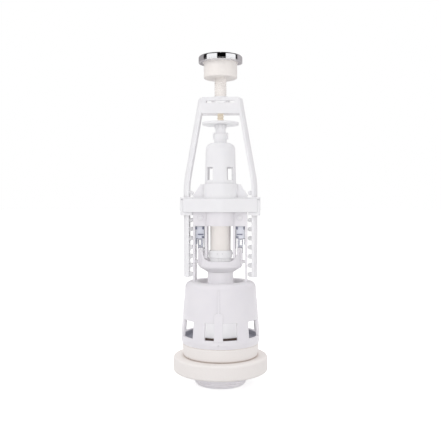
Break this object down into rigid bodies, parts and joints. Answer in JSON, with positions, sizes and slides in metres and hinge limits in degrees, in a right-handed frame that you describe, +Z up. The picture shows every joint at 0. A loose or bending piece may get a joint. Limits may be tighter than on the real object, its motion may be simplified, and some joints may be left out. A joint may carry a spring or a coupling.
{
  "type": "toilet flush valve",
  "caption": "Cistern flush valve: push button on a toothed yoke presses a plunger whose racks and pinions lift the overflow tube's bowl and seal off the outlet seat.",
  "frame": {"origin": "centre of the outlet's lower end", "axes": "+Z up along the valve's axis, yoke legs on the X axis, -Y to the picture's viewer"},
  "size_m": [0.1092, 0.1092, 0.3773],
  "materials": {
    "white_plastic": "moulded, satin gloss",
    "cream_plastic": "moulded, satin",
    "cream_rubber": "soft matt",
    "clear_plastic": "clear, faintly blue",
    "chrome_plated": "chrome plated plastic",
    "spring_steel": "drawn wire",
    "dark_rubber": "moulded rubber"
  },
  "bodies": {
    "valve_body": {"outlet_body": "white_plastic", "cistern_gasket": "cream_rubber", "doughnut_washer": "cream_rubber", "back_nut": "white_plastic", "basket": "white_plastic", "cage_frame": "white_plastic", "cover": "white_plastic", "pinion_pin_left": "white_plastic", "pinion_pin_right": "white_plastic"},
    "yoke_body": {"yoke": "white_plastic", "button_housing": "cream_plastic", "shank_nut": "white_plastic", "button_bezel": "chrome_plated", "button_spring": "spring_steel"},
    "button": {"button_cap": "chrome_plated", "push_rod": "cream_plastic"},
    "plunger_body": {"push_plate": "white_plastic", "stem_lock_ring": "white_plastic", "plunger": "white_plastic", "rack_fork": "clear_plastic"},
    "left_pinion": {"pinion_left": "clear_plastic"},
    "right_pinion": {"pinion_right": "clear_plastic"},
    "lift_valve": {"lift_bowl": "white_plastic", "lift_rack_left": "clear_plastic", "lift_rack_right": "clear_plastic", "tube_collar": "white_plastic", "valve_foot": "white_plastic", "flush_seal": "dark_rubber", "seal_retainer": "white_plastic"},
    "overflow": {"overflow_tube": "cream_plastic"}
  },
  "joints": [
    {"name": "yoke_height", "type": "slide", "parent": "valve_body", "child": "yoke_body", "axis": [0, 0, 1], "range_m": [0, 0.063]},
    {"name": "button_press", "type": "slide", "parent": "yoke_body", "child": "button", "axis": [0, 0, -1], "range_m": [0, 0.01], "stiffness_N_per_m": 300, "springref_m": -0.004, "deforming": ["button_spring"]},
    {"name": "plunger_press", "type": "slide", "parent": "valve_body", "child": "plunger_body", "axis": [0, 0, -1], "range_m": [0, 0.01]},
    {"name": "left_pinion_turn", "type": "hinge", "parent": "valve_body", "child": "left_pinion", "pos_m": [-0.0226, 0, 0.192], "axis": [0, 1, 0], "range_deg": [0, 144]},
    {"name": "right_pinion_turn", "type": "hinge", "parent": "valve_body", "child": "right_pinion", "pos_m": [0.0226, 0, 0.192], "axis": [0, 1, 0], "range_deg": [-144, 0]},
    {"name": "valve_lift", "type": "slide", "parent": "valve_body", "child": "lift_valve", "axis": [0, 0, 1], "range_m": [0, 0.01]},
    {"name": "overflow_adjust", "type": "slide", "parent": "lift_valve", "child": "overflow", "axis": [0, 0, 1], "range_m": [0, 0.015]}
  ],
  "couplings": [
    {"joint": "plunger_press", "follows": "button_press", "ratio": 1},
    {"joint": "left_pinion_turn", "follows": "button_press", "rad_per_m": 250},
    {"joint": "right_pinion_turn", "follows": "button_press", "rad_per_m": -250},
    {"joint": "valve_lift", "follows": "button_press", "ratio": 1}
  ]
}
